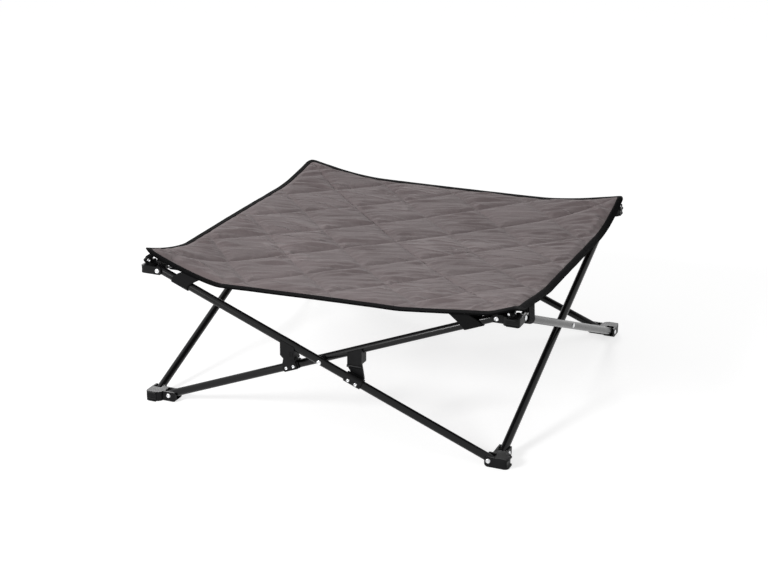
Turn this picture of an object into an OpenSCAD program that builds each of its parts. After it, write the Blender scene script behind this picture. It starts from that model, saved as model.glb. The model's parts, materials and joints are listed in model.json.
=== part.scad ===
// Folding raised pet bed: four scissor crosses of round tube between four corner
// hubs and four feet, with a quilted sheet stretched over the top.
// Millimetres, +Z up, origin on the floor under the centre of the bed.

/* [Frame] */
// Distance between neighbouring corner hubs, centre to centre
hub_spacing = 740; // [640:10:840]
// Height of the upper pivots above the lower ones when the bed is open
pivot_rise = 274; // [240:2:310]
// Distance of each pivot from its hub centre, along the side
pivot_inset = 24; // [23:0.5:30]
// Height of the lower pivots above the floor
foot_pivot_z = 12; // [12:0.5:18]

/* [Tubes] */
// Outer diameter of the frame tubes
tube_d = 16; // [14:0.5:16.5]
// Wall of the frame tubes
tube_wall = 1.2; // [1:0.1:2]
// Gap between the two tubes of a cross
cross_gap = 5.2; // [5:0.1:8]
// How far a tube runs past its end pivot
tube_end = 8; // [7:0.5:8.5]
// Length of the solid plug in each tube end
plug_length = 22; // [18:1:30]
// Chamfer on the plug at each tube end
plug_chamfer = 2; // [2:0.5:3]

/* [Rivets] */
// Shank diameter of the pivot rivets
pivot_rivet_d = 5; // [4:0.5:6]
// Shank diameter of the clip rivets
clip_rivet_d = 3.6; // [3:0.2:4.2]
// Height of a rivet head
rivet_head_h = 2.2; // [1.6:0.2:3]
// Diameter of a rivet head, as a multiple of its shank
head_ratio = 1.9; // [1.6:0.1:2]
// Diameter of the spacer washer at each cross
spacer_d = 16; // [12:1:20]

/* [Corner hubs and feet] */
// Thickness of each clevis ear
ear_wall = 3.6; // [3:0.2:5]
// How far the ears run past their pivot
ear_reach = 7.5; // [6.5:0.5:9]
// How far the longer ears of a foot run past their pivot
foot_toe = 17; // [12:1:20]
// Height of the ears above the pivot
ear_high = 8; // [7:0.5:8.5]
// Depth of the hub block below the upper pivots
hub_low = 8; // [7:0.5:12]
// Distance that hubs and feet reach out behind their centre
hub_back = 15; // [12:1:20]
// Radius of the outer upright edge of hubs and feet
hub_edge_radius = 9; // [6:1:11]
// Depth of the waist in the outer face of hubs and feet
waist_depth = 3; // [2:0.5:4]
// Thickness of the flange under the waist
flange_t = 3.5; // [3:0.5:4.5]
// Diameter of the boss in the middle of hubs and feet
boss_d = 22; // [18:1:24]
// Height of the boss above the upper pivots
boss_high = 9; // [8.5:0.5:10]
// Depth of the cup recess under each hub
hub_recess = 11; // [6:1:13]
// Thickness of the lug that holds the corner of the sheet
lug_t = 5; // [4:0.5:6]

/* [Clips] */
// Distance of each snap clip from the cross pivot, along the tube
clip_at = 75; // [70:1:90]
// Length of a clip along the tube
clip_length = 30; // [26:1:32]
// Wall of a clip round a tube
clip_wall = 2.8; // [2:0.2:3.6]
// Level of the underside of a clip's head, measured from the cross pivot
head_base = -3; // [-5:0.5:0]
// Number of stiffening ribs on a clip's head
clip_ribs = 3; // [2:1:4]

/* [Sheet] */
// How far the sheet corners reach beyond the hub centres
sheet_over = 15; // [12:1:18]
// How far the sheet edges curve inwards between the corners
edge_bow = 8; // [0:1:12]
// Thickness of the quilted sheet
sheet_t = 4; // [3:0.5:6]
// Level of the underside of the sheet edge below the upper pivots
edge_drop = 10; // [6:1:12]
// Height that the sheet corners stand above the sheet edge
corner_lift = 35; // [33:1:40]
// Distance from a corner over which its lift fades away
lift_reach = 150; // [140:5:170]
// Sag of the middle of the sheet below its edges
sheet_sag = 8; // [4:1:30]
// Length of a corner pocket along each sheet edge
pocket_side = 44; // [40:1:52]
// Corner radius of the sheet
corner_radius = 28; // [20:1:32]
// Height of the edge binding
binding_h = 12; // [10:1:16]
// Height that the binding stands above the sheet
binding_stand = 6; // [3:1:8]
// Thickness of the edge binding
binding_t = 3; // [2:0.5:4]

/* [Loops] */
// Distance of each webbing loop from its upper pivot, along the tube
loop_at = 52; // [46:1:60]
// Width of a webbing loop along the tube
loop_width = 38; // [30:1:44]
// Thickness of the webbing
webbing_t = 2.2; // [1.6:0.2:3]
// How far the top of a loop leans towards the middle of its side
loop_lean = 10; // [4:1:16]

/* [Hidden] */

// Colours of the finishes
painted = [0.05, 0.05, 0.055];
moulded = [0.06, 0.06, 0.065];
plated = [0.75, 0.76, 0.78];
quilted = [0.47, 0.43, 0.43];
woven = [0.06, 0.06, 0.06];

// Clearances
bore_gap = 0.08;
press_gap = 0.05;
ear_gap = 0.4;
swing_gap = 0.6;
washer_gap = 0.1;
clip_gap = 0.3;
wrap_gap = 0.15;
seam_gap = 0.3;
strap_gap = 0.6;
through = 1;

// Numbers that name the corner and side of each sub-part
FRONT = 0;
RIGHT = 1;
BACK = 2;
LEFT = 3;

// Frame geometry
half = hub_spacing / 2;
plane = (tube_d + cross_gap) / 2;
run = hub_spacing - 2 * pivot_inset;
pivot_length = norm([run, pivot_rise]);
lean = atan2(pivot_rise, run);
top_pivot_z = foot_pivot_z + pivot_rise;
cross_z = foot_pivot_z + pivot_rise / 2;
tube_r = tube_d / 2;
full_length = pivot_length + 2 * tube_end;

// Clevis geometry
slot_half = tube_r + ear_gap;
ear_out = slot_half + ear_wall;
end_swing = norm([tube_end, tube_r - plug_chamfer]);
shoulder_swing = norm([tube_end - plug_chamfer, tube_r]);
swing_r = max(end_swing, shoulder_swing) + swing_gap;
ear_corner = 3;
toe_corner = 7;
recess_wall = 4;

// Rivet geometry
pivot_bore_d = pivot_rivet_d + 2 * bore_gap;
press_bore_d = pivot_rivet_d + 2 * press_gap;
clip_bore_d = clip_rivet_d + 2 * press_gap;
head_d = pivot_rivet_d * head_ratio;
head_relief = 0.6;
dimple_ratio = 0.55;
clip_rivet_pitch = clip_length * 0.55;

// Clip geometry, in a frame with the cross pivot at its origin
clip_r_in = tube_r + clip_gap;
clip_r_out = clip_r_in + clip_wall;
web_half = cross_gap / 2 - clip_gap;
grip_depth = 7; // below the axis of the clip's own tube
cradle_lip = 2; // above the axis of the other tube
head_shift = 3; // towards the cross pivot
head_depth = tube_d / 2 + 1.5; // in front of the other tube's axis
head_wall = 2.4;
saddle_over = 3; // beyond each end of the web
head_chamfer = 6;
bead_r = 3;
rib_depth = 0.9;
rib_pitch = 3.6;

// Sheet geometry
sheet_half = half + sheet_over;
lift_power = 1.3;
band_low = sheet_t + binding_stand - binding_h;
cone_steps = 4;
gore_rows = 8;
gore_columns = 18;
gore_tip = 2;
loop_points = 5;

// Lug geometry: distances out along the diagonal of the hub, and above the pivots
lug_in = -8;
lug_out = 17;
lug_nose_r = 3.5;
eye_out = 8;
eye_r = 5.5;
patch_z = edge_z(sheet_over * sqrt(2) - eye_out) - top_pivot_z;
eye_z = patch_z - eye_r - 2 * seam_gap;
nose_z = eye_z - 1;
tab_grow = 1.2;

// Level of the underside of the sheet at a distance from its corner, along an edge
function edge_z(d) =
    top_pivot_z - edge_drop + corner_lift * pow(max(0, 1 - d / lift_reach), lift_power);
function bowl(x, y) =
    max(0, (1 - pow(x / sheet_half, 2)) * (1 - pow(y / sheet_half, 2)));
function corner_distance(x, y) = norm([sheet_half - abs(x), sheet_half - abs(y)]);
// Level of the underside of the sheet over a point of the floor
function under_z(x, y) =
    let (d = corner_distance(x, y))
    edge_z(d) - sheet_sag * bowl(x, y) * max(0, min(1, d / pocket_side - 1));

// ---- placing ----

// Turns a piece made for the front side, or its left corner, to another side
module on_side(side) rotate([0, 0, 90 * side]) children();

// Places a piece made in the cross frame of the front side
module at_cross(side) on_side(side) translate([0, -half, cross_z]) children();

// Places a piece made round a hub centre, at the level of the upper pivots
module at_top(corner) on_side(corner) translate([-half, -half, top_pivot_z]) children();

// Places a piece made round a foot centre, at the level of the lower pivots
module at_foot(corner) on_side(corner) translate([-half, -half, foot_pivot_z]) children();

// Swaps X and Y, which turns the arms of a top hub into those of a foot
module swap_arms() mirror([1, -1, 0]) children();

// A cylinder along Y, centred on the origin
module across(d, l) rotate([90, 0, 0]) cylinder(d = d, h = l, center = true, $fn = 48);

// ---- tubes ----

// Revolved body of a tube, along X, with its plugged ends chamfered
module tube_blank() {
    rotate([0, 90, 0]) rotate_extrude($fn = 64) polygon([
        [0, -full_length / 2],
        [tube_r - plug_chamfer, -full_length / 2],
        [tube_r, -full_length / 2 + plug_chamfer],
        [tube_r, full_length / 2 - plug_chamfer],
        [tube_r - plug_chamfer, full_length / 2],
        [0, full_length / 2]
    ]);
}

// One tube of a cross, along X, with its pivot bores and any clip bores
module tube(clip_side) {
    hollow = full_length - 2 * plug_length;
    difference() {
        tube_blank();
        rotate([0, 90, 0]) cylinder(d = tube_d - 2 * tube_wall, h = hollow, center = true, $fn = 64);
        for (x = [-pivot_length / 2, 0, pivot_length / 2])
            translate([x, 0, 0]) across(pivot_bore_d, tube_d + 2 * through);
        if (clip_side != 0) for (end = [-1, 1])
            translate([clip_side * clip_at + end * clip_rivet_pitch / 2, 0, 0])
                across(clip_bore_d, tube_d + 2 * through);
    }
}

// Outer tube: from the upper left hub down to the lower right foot
module outer_tube(side, clipped) color(painted)
    at_cross(side) translate([0, -plane, 0]) rotate([0, lean, 0]) tube(clipped ? 1 : 0);

// Inner tube: from the lower left foot up to the upper right hub
module inner_tube(side, clipped) color(painted)
    at_cross(side) translate([0, plane, 0]) rotate([0, -lean, 0]) tube(clipped ? -1 : 0);

// ---- rivets ----

// A rivet head on the plane z = 0, domed and dimpled
module rivet_head(d) {
    head_r = d * head_ratio / 2;
    dimple_r = head_r * dimple_ratio;
    rotate_extrude($fn = 48) polygon([
        [0, 0],
        [head_r, 0],
        [head_r, rivet_head_h * 0.35],
        [head_r * 0.86, rivet_head_h * 0.8],
        [head_r * 0.68, rivet_head_h],
        [dimple_r, rivet_head_h * 0.9],
        [dimple_r * 0.6, rivet_head_h * 0.45],
        [0, rivet_head_h * 0.35]
    ]);
}

// A rivet along Y with a head beyond each end of its grip
module rivet(d, grip) {
    across(d, grip);
    for (end = [-1, 1])
        rotate([90 * end, 0, 0]) translate([0, 0, grip / 2]) rivet_head(d);
}

// The two pivot rivets of a top hub
module hub_rivet_pair() {
    grip = 2 * (ear_out + press_gap);
    translate([pivot_inset, -plane, 0]) rivet(pivot_rivet_d, grip);
    translate([plane, pivot_inset, 0]) rotate([0, 0, 90]) rivet(pivot_rivet_d, grip);
}

// The rivet that holds the webbing tabs to the lug of a top hub
module tab_rivet() along_diagonal() translate([eye_out, 0, eye_z])
    rivet(clip_rivet_d, lug_t + 2 * (wrap_gap + webbing_t + press_gap));

module hub_rivets(corner) color(plated) at_top(corner) {
    hub_rivet_pair();
    tab_rivet();
}
module foot_rivets(corner) color(plated) at_foot(corner) swap_arms() hub_rivet_pair();
module cross_rivet(side) color(plated)
    at_cross(side) rivet(pivot_rivet_d, 2 * (plane + tube_r + washer_gap));

// Plain washer between the two tubes of a cross
module cross_spacer(side) color(moulded) at_cross(side) difference() {
    across(spacer_d, cross_gap - 2 * washer_gap);
    across(pivot_bore_d, cross_gap + 2 * through);
}

// ---- hubs and feet ----

// A rectangle between two corner points, with rounded corners
module round_rect(low, high, r) {
    size = high - low;
    translate(low + [r, 0]) square(size - [2 * r, 0]);
    translate(low + [0, r]) square(size - [0, 2 * r]);
    for (x = [low[0] + r, high[0] - r]) for (y = [low[1] + r, high[1] - r])
        translate([x, y]) circle(r = r, $fn = 32);
}

// An outline drawn along X and Z, given a thickness along Y
module upright(thickness) rotate([90, 0, 0]) linear_extrude(thickness, center = true) children();

// The space in which the tube end swings, the rivet's bore and room for its heads
module arm_cut(floor_depth, reach) {
    head_room = rivet_head_h + head_relief;
    translate([pivot_inset - swing_r, -slot_half, -floor_depth])
        cube([swing_r + reach + through, 2 * slot_half, floor_depth + swing_r + through]);
    translate([pivot_inset, 0, 0]) {
        across(press_bore_d, 2 * (ear_out + through));
        for (end = [-1, 1])
            translate([0, end * (ear_out + head_room / 2), 0])
                across(head_d + 2 * head_relief, head_room);
    }
}

// Both arms of a top hub: one along +X outside its side, one along +Y inside
module both_arms() {
    translate([0, -plane, 0]) children(0);
    translate([plane, 0, 0]) mirror([1, -1, 0]) children(1);
}

// Rounds the outer upright edge: the corner that the block gives up
module edge_cut(height) {
    r = hub_edge_radius;
    translate([-hub_back, -plane - ear_out, 0]) difference() {
        translate([-through, -through, -height]) cube([r + through, r + through, 2 * height]);
        translate([r, r, -height - through]) cylinder(r = r, h = 2 * (height + through), $fn = 48);
    }
}

// The waist: a groove across the outer face, above the flange
module waist_cut(low, high) translate([-hub_back, 0, 0])
    upright(2 * (plane + ear_out + through))
        round_rect([-waist_depth, low + flange_t], [waist_depth, high - flange_t], waist_depth - 1);

// The lug and its webbing tabs stand along the diagonal of a hub, X pointing outwards
module along_diagonal() rotate([0, 0, 225]) children();

// Outline of the lug, with its eye over the hub and its nose over the outer edge
module lug_outline(grow) hull() {
    translate([eye_out, eye_z]) circle(r = eye_r + grow, $fn = 48);
    translate([lug_out - lug_nose_r, nose_z]) circle(r = lug_nose_r + grow, $fn = 32);
}

module lug() along_diagonal() {
    upright(lug_t) lug_outline(0);
    translate([lug_in, -lug_t / 2, 0]) cube([lug_out - lug_nose_r - lug_in, lug_t, eye_z]);
}

module hub_arm(back) upright(2 * ear_out)
    round_rect([-back, -hub_low], [pivot_inset + ear_reach, ear_high], ear_corner);

module top_hub(corner) color(moulded) at_top(corner) difference() {
    union() {
        both_arms() {
            hub_arm(hub_back);
            hub_arm(plane + ear_out);
        }
        translate([0, 0, -hub_low]) cylinder(d = boss_d, h = hub_low + boss_high, $fn = 48);
        lug();
    }
    both_arms() {
        arm_cut(hub_low + through, ear_reach);
        arm_cut(hub_low + through, ear_reach);
    }
    edge_cut(hub_low + ear_high);
    waist_cut(-hub_low, ear_high);
    translate([0, 0, -hub_low - through])
        cylinder(d = boss_d - 2 * recess_wall, h = hub_recess + through, $fn = 48);
    along_diagonal() translate([eye_out, 0, eye_z]) across(clip_bore_d, 2 * lug_t);
}

// A foot's arm stands on the floor, and its toe is rounded off below
module foot_arm(back, reach) upright(2 * ear_out) intersection() {
    round_rect([-back, -foot_pivot_z - ear_corner], [pivot_inset + reach, ear_high], ear_corner);
    union() {
        translate([-back, -foot_pivot_z])
            square([back + pivot_inset + reach - toe_corner, foot_pivot_z + ear_high]);
        translate([-back, toe_corner - foot_pivot_z])
            square([back + pivot_inset + reach, foot_pivot_z + ear_high]);
        translate([pivot_inset + reach - toe_corner, toe_corner - foot_pivot_z])
            circle(r = toe_corner, $fn = 48);
    }
}

module foot(corner) color(moulded) at_foot(corner) swap_arms() difference() {
    union() {
        both_arms() {
            foot_arm(hub_back, ear_reach);
            foot_arm(plane + ear_out, foot_toe);
        }
        translate([0, 0, -foot_pivot_z])
            cylinder(d = boss_d, h = foot_pivot_z + ear_high, $fn = 48);
    }
    both_arms() {
        arm_cut(swing_r, ear_reach);
        arm_cut(swing_r, foot_toe);
    }
    edge_cut(foot_pivot_z + ear_high);
    waist_cut(-foot_pivot_z, ear_high);
}

// ---- clips ----

// Frame along the inner tube at the clip: X along the tube, Z away from the floor
module along_inner() translate([0, plane, 0]) rotate([0, -lean, 0]) translate([-clip_at, 0, 0]) children();
// The same frame along the outer tube, which the clip's cradle holds
module along_outer() translate([0, -plane, 0]) rotate([0, lean, 0]) translate([-clip_at, 0, 0]) children();

// Length of tube along X, for the clip's shells
module shell_blank(r, l) rotate([0, 90, 0]) cylinder(r = r, h = l, center = true, $fn = 64);

// A point given along and across a tube that leans by an angle
function turned(along, across, angle) = [
    along * cos(angle) - across * sin(angle),
    along * sin(angle) + across * cos(angle)
];

// The upright sides of the head, and the level of the other tube over them
head_near = head_shift + clip_length / 2 - clip_at * cos(lean);
head_far = head_near - clip_length;
function tube_over(x) = -x * tan(lean);

// The flat web in the gap of the cross, from the grip up into the head
module clip_web() upright(2 * web_half) polygon([
    turned(clip_length / 2 - clip_at, -grip_depth, lean),
    turned(-clip_length / 2 - clip_at, -grip_depth, lean),
    turned(-clip_length / 2 - clip_at, tube_r, lean),
    [head_far, head_base + head_chamfer],
    [head_far, tube_over(head_far)],
    [head_near, tube_over(head_near)],
    [head_near, head_base],
    turned(clip_length / 2 - clip_at, tube_r, lean)
]);

// Outline of the head, upright at its sides and sloped on top like the tube over it
module head_outline(inset, base, lip) polygon([
    [head_near - inset, base],
    [head_far + head_chamfer, base],
    [head_far + inset, head_base + head_chamfer],
    [head_far + inset, tube_over(head_far) + lip],
    [head_near - inset, tube_over(head_near) + lip]
]);

// Distance of the head's outer face from the middle of the gap
head_face = plane + head_depth;

// The head under the other tube, with a bead across the back of the web
module clip_head() {
    translate([0, (web_half - head_face) / 2, 0])
        upright(head_face + web_half) head_outline(0, head_base, cradle_lip);
    translate([(head_near + head_far) / 2, web_half, head_base])
        shell_blank(bead_r, clip_length);
    for (k = [0:clip_ribs - 1])
        translate([head_near - rib_pitch * (k + 1), -head_face, head_base + head_chamfer])
            cylinder(d = 2 * rib_depth, h = tube_over(head_near) - tube_r - head_base - head_chamfer,
                $fn = 24);
}

// The hollow of the head, open below
module head_pocket() difference() {
    translate([0, -(head_face + web_half) / 2, 0])
        upright(head_face - web_half - 2 * head_wall)
            head_outline(head_wall, head_base - through, 0);
    along_outer() shell_blank(clip_r_out, 3 * clip_length);
}

// A clip on the inner tube, left of the cross pivot: it hooks over its own tube,
// and its cradle takes the outer tube and stops the cross when the bed is open
module clip() difference() {
    union() {
        clip_web();
        clip_head();
        intersection() {
            along_inner() shell_blank(clip_r_out, clip_length + 2 * saddle_over);
            along_inner() translate([0, 0, clip_r_out - grip_depth])
                cube([2 * clip_length, 2 * clip_r_out, 2 * clip_r_out], center = true);
        }
    }
    head_pocket();
    along_inner() shell_blank(clip_r_in - clip_gap + wrap_gap, 2 * clip_length);
    along_outer() shell_blank(clip_r_in, 3 * clip_length);
    along_inner() for (end = [-1, 1])
        translate([end * clip_rivet_pitch / 2, 0, 0]) across(clip_bore_d, 4 * clip_r_out);
}

// The two rivets of a clip go through it and its tube
module clip_rivet_pair() {
    near = plane + web_half + press_gap;
    far = clip_r_out + press_gap;
    along_inner() for (end = [-1, 1])
        translate([end * clip_rivet_pitch / 2, (far - near) / 2, 0]) rivet(clip_rivet_d, near + far);
}

module inner_clip(side) color(moulded) at_cross(side) clip();
module outer_clip(side) color(moulded) at_cross(side) rotate([0, 0, 180]) clip();
module inner_clip_rivets(side) color(plated) at_cross(side) clip_rivet_pair();
module outer_clip_rivets(side) color(plated)
    at_cross(side) rotate([0, 0, 180]) clip_rivet_pair();

// ---- sheet ----

// Distance of each row of a gore from the middle of the bed
function row_r(k) =
    k == 0 ? sheet_half
    : let (start = sheet_half - pocket_side / 2)
    start - (k - 1) * (start - gore_tip) / (gore_rows - 1);
// Half width of a gore at a row: to the diagonal, or to the corner pocket
function row_half(r) = min(r, 2 * sheet_half - pocket_side - r) - seam_gap;
// Place of a column across a row, closer together towards the corners
function column_x(k, half_width) = half_width * sin(90 * (2 * k / gore_columns - 1));

// How far a row curves inwards at a place across it
function row_bow(x, r) =
    edge_bow * pow(r / sheet_half, 2) * max(0, 1 - pow(x / min(r, sheet_half - pocket_side), 2));

// Faces of a slab whose upper and lower skins are grids of rows by columns
function grid_faces(rows, columns) =
    let (skin = (rows + 1) * (columns + 1), wide = columns + 1)
    concat(
        [for (r = [0:rows - 1]) for (c = [0:columns - 1]) for (half_cell = [0, 1])
            let (a = r * wide + c)
            half_cell == 0 ? [a, a + wide, a + 1] : [a + 1, a + wide, a + wide + 1]],
        [for (r = [0:rows - 1]) for (c = [0:columns - 1]) for (half_cell = [0, 1])
            let (a = skin + r * wide + c)
            half_cell == 0 ? [a, a + 1, a + wide] : [a + 1, a + wide + 1, a + wide]],
        [for (c = [0:columns - 1]) for (half_cell = [0, 1])
            half_cell == 0 ? [c, c + 1, skin + c] : [c + 1, skin + c + 1, skin + c]],
        [for (c = [0:columns - 1]) for (half_cell = [0, 1])
            let (a = rows * wide + c)
            half_cell == 0 ? [a, skin + a, a + 1] : [a + 1, skin + a, skin + a + 1]],
        [for (r = [0:rows - 1]) for (half_cell = [0, 1])
            let (a = r * wide)
            half_cell == 0 ? [a, skin + a, a + wide] : [a + wide, skin + a, skin + a + wide]],
        [for (r = [0:rows - 1]) for (half_cell = [0, 1])
            let (a = r * wide + columns)
            half_cell == 0 ? [a, a + wide, skin + a] : [a + wide, skin + a + wide, skin + a]]
    );

// Points of one skin of the front gore, raised above the underside
function gore_skin(raise) =
    [for (r = [0:gore_rows]) for (c = [0:gore_columns])
        let (far = row_r(r), x = column_x(c, row_half(far)), y = far - row_bow(x, far))
        [x, -y, under_z(x, y) + raise]];

// One of the four triangular parts of the sheet, between the diagonals
module sheet_gore(side) color(quilted) on_side(side)
    polyhedron(
        points = concat(gore_skin(sheet_t), gore_skin(0)),
        faces = grid_faces(gore_rows, gore_columns)
    );

// Points along the edge of the front gore, some way out from it
function binding_row(out, raise) =
    [for (c = [0:gore_columns])
        let (x = column_x(c, row_half(sheet_half)), y = sheet_half - row_bow(x, sheet_half))
        [x, -y - out, under_z(x, y) + raise]];

// Binding tape round the edge of a gore, which stands above the sheet
module binding(side) color(woven) on_side(side) {
    top = sheet_t + binding_stand;
    polyhedron(
        points = concat(
            binding_row(binding_t, top),
            binding_row(0, top),
            binding_row(binding_t, top - binding_h),
            binding_row(0, top - binding_h)
        ),
        faces = grid_faces(1, gore_columns)
    );
}

// Outline of the sheet corner, with the sharp corner at the origin
module corner_outline(side_length, radius, out) intersection() {
    union() {
        translate([radius - out, -out]) square(side_length + out);
        translate([-out, radius - out]) square(side_length + out);
        translate([radius - out, radius - out]) circle(r = radius, $fn = 64);
    }
    polygon([[-out, -out], [side_length, -out], [side_length, 0], [0, side_length], [-out, side_length]]);
}

// A cone about the sharp corner that follows the rise of the sheet, from one height
// above its underside to another
module corner_cone(low, high) rotate_extrude($fn = 96) polygon(concat(
    [for (k = [0:cone_steps]) let (d = 1.5 * pocket_side * k / cone_steps) [d, edge_z(d) + low]],
    [for (k = [cone_steps:-1:0]) let (d = 1.5 * pocket_side * k / cone_steps) [d, edge_z(d) + high]]
));

// Corner of the sheet: its reinforced patch, its binding and the tabs on the hub's lug
module corner_pocket(corner) color(woven) on_side(corner) {
    top = sheet_t + binding_stand;
    length = pocket_side - seam_gap;
    translate([-sheet_half, -sheet_half, 0]) intersection() {
        corner_cone(0, sheet_t);
        linear_extrude(2 * top_pivot_z) corner_outline(length, corner_radius, 0);
    }
    translate([-sheet_half, -sheet_half, 0]) intersection() {
        corner_cone(top - binding_h, top);
        linear_extrude(2 * top_pivot_z) difference() {
            corner_outline(length, corner_radius + binding_t, binding_t);
            corner_outline(2 * length, corner_radius, 0);
        }
    }
    translate([-half, -half, top_pivot_z]) tabs();
}

// The two webbing tabs, one on each face of the lug, up into the patch
module tabs() along_diagonal() for (face = [-1, 1])
    translate([0, face * (lug_t / 2 + wrap_gap + webbing_t / 2), 0]) difference() {
        upright(webbing_t) tab_outline();
        translate([eye_out, 0, eye_z]) across(clip_bore_d, 2 * webbing_t);
    }

// Outline of a tab: clear of the hub's boss, and up into the patch over the eye
module tab_outline() union() {
    difference() {
        lug_outline(tab_grow);
        square([2 * lug_out, boss_high + wrap_gap]);
    }
    translate([eye_out - eye_r, eye_z]) square([2 * eye_r, patch_z + sheet_t / 2 - eye_z]);
}

// ---- loops ----

// Level of a tube's axis below its upper pivot, at a place along the side
function drop_at(x) = (half - pivot_inset - abs(x)) * tan(lean);
// A webbing loop on the outer tube, with its strap up to the binding
module loop(y) {
    x_mid = half - pivot_inset - loop_at * cos(lean);
    half_width = loop_width * cos(lean) / 2;
    xs = [for (k = [0:loop_points - 1]) x_mid + half_width * (1 - 2 * k / (loop_points - 1))];
    centre = [-x_mid, y, top_pivot_z - drop_at(x_mid)];
    difference() {
        union() {
            translate(centre) rotate([0, lean, 0]) shell_blank(tube_r + wrap_gap + webbing_t, loop_width);
            translate([0, y, 0]) rotate([90, 0, 0])
                linear_extrude(webbing_t, center = true) polygon(concat(
                    [[-xs[0], top_pivot_z - drop_at(xs[0])]],
                    [for (x = xs) let (up = x - loop_lean)
                        [-up, under_z(up, y) + band_low - strap_gap]],
                    [[-xs[loop_points - 1], top_pivot_z - drop_at(xs[loop_points - 1])]]
                ));
        }
        translate(centre) rotate([0, lean, 0]) shell_blank(tube_r + wrap_gap, 3 * loop_width);
    }
}

module outer_loop(side) color(woven) on_side(side) loop(-half - plane);
module inner_loop(side) color(woven)
    on_side(side) mirror([1, 0, 0]) loop(-half + plane);

// ---- the nodes ----

outer_tube(FRONT, true);  // front_outer_tube
inner_tube(FRONT, true);  // front_inner_tube
outer_tube(RIGHT, false);  // right_outer_tube
inner_tube(RIGHT, false);  // right_inner_tube
outer_tube(BACK, true);  // back_outer_tube
inner_tube(BACK, true);  // back_inner_tube
outer_tube(LEFT, false);  // left_outer_tube
inner_tube(LEFT, false);  // left_inner_tube
top_hub(FRONT);  // top_hub_front_left
top_hub(RIGHT);  // top_hub_front_right
top_hub(BACK);  // top_hub_back_right
top_hub(LEFT);  // top_hub_back_left
foot(FRONT);  // foot_front_left
foot(RIGHT);  // foot_front_right
foot(BACK);  // foot_back_right
foot(LEFT);  // foot_back_left
hub_rivets(FRONT);  // hub_rivets_front_left
hub_rivets(RIGHT);  // hub_rivets_front_right
hub_rivets(BACK);  // hub_rivets_back_right
hub_rivets(LEFT);  // hub_rivets_back_left
foot_rivets(FRONT);  // foot_rivets_front_left
foot_rivets(RIGHT);  // foot_rivets_front_right
foot_rivets(BACK);  // foot_rivets_back_right
foot_rivets(LEFT);  // foot_rivets_back_left
cross_rivet(FRONT);  // cross_rivet_front
cross_rivet(RIGHT);  // cross_rivet_right
cross_rivet(BACK);  // cross_rivet_back
cross_rivet(LEFT);  // cross_rivet_left
cross_spacer(FRONT);  // cross_spacer_front
cross_spacer(RIGHT);  // cross_spacer_right
cross_spacer(BACK);  // cross_spacer_back
cross_spacer(LEFT);  // cross_spacer_left
inner_clip(FRONT);  // front_inner_clip
outer_clip(FRONT);  // front_outer_clip
inner_clip(BACK);  // back_inner_clip
outer_clip(BACK);  // back_outer_clip
inner_clip_rivets(FRONT);  // front_inner_clip_rivets
outer_clip_rivets(FRONT);  // front_outer_clip_rivets
inner_clip_rivets(BACK);  // back_inner_clip_rivets
outer_clip_rivets(BACK);  // back_outer_clip_rivets
sheet_gore(FRONT);  // sheet_front
sheet_gore(RIGHT);  // sheet_right
sheet_gore(BACK);  // sheet_back
sheet_gore(LEFT);  // sheet_left
binding(FRONT);  // binding_front
binding(RIGHT);  // binding_right
binding(BACK);  // binding_back
binding(LEFT);  // binding_left
corner_pocket(FRONT);  // corner_pocket_front_left
corner_pocket(RIGHT);  // corner_pocket_front_right
corner_pocket(BACK);  // corner_pocket_back_right
corner_pocket(LEFT);  // corner_pocket_back_left
outer_loop(FRONT);  // front_outer_loop
inner_loop(FRONT);  // front_inner_loop
outer_loop(RIGHT);  // right_outer_loop
inner_loop(RIGHT);  // right_inner_loop
outer_loop(BACK);  // back_outer_loop
inner_loop(BACK);  // back_inner_loop
outer_loop(LEFT);  // left_outer_loop
inner_loop(LEFT);  // left_inner_loop
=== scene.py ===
"""Folding raised pet bed: finishes, quilted sheet, binding, loops and corner pockets
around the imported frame."""
import json
import math

import bpy
import numpy as np
from mathutils import Matrix, Vector


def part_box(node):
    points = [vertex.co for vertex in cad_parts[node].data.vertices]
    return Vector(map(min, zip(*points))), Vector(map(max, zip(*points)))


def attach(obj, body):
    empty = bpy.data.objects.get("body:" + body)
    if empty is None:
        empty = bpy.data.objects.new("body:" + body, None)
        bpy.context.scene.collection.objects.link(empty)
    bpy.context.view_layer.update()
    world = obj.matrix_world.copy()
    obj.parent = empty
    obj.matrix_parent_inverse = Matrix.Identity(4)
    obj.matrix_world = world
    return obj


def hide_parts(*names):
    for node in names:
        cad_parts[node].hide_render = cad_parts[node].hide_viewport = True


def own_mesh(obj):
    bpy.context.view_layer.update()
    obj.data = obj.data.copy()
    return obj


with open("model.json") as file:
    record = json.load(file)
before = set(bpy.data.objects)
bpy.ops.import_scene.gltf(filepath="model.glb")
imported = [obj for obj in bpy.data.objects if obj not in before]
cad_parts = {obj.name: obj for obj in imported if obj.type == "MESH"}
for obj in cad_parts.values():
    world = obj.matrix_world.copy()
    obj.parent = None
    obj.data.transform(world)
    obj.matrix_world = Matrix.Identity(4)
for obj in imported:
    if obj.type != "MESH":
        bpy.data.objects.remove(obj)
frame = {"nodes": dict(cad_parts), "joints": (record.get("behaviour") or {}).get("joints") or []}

MM = 0.001
# Sides in order round the bed. Corner k is the left end of side k, seen from outside.
SIDES = ("front", "right", "back", "left")
CORNERS = ("front_left", "front_right", "back_right", "back_left")


def remove_startup_objects():
    """Takes away Blender's own cube, lamp and camera."""
    for name in ("Cube", "Light", "Camera"):
        found = bpy.data.objects.get(name)
        if found is not None:
            bpy.data.objects.remove(found, do_unlink=True)


remove_startup_objects()
bpy.context.view_layer.update()

# ---- sizes read from the frame ----

joints = {j["name"]: j for j in frame["joints"]}
# Distance of each cross from the middle of the bed
HALF = -joints["front_cross"]["pos_m"][1]
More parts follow.
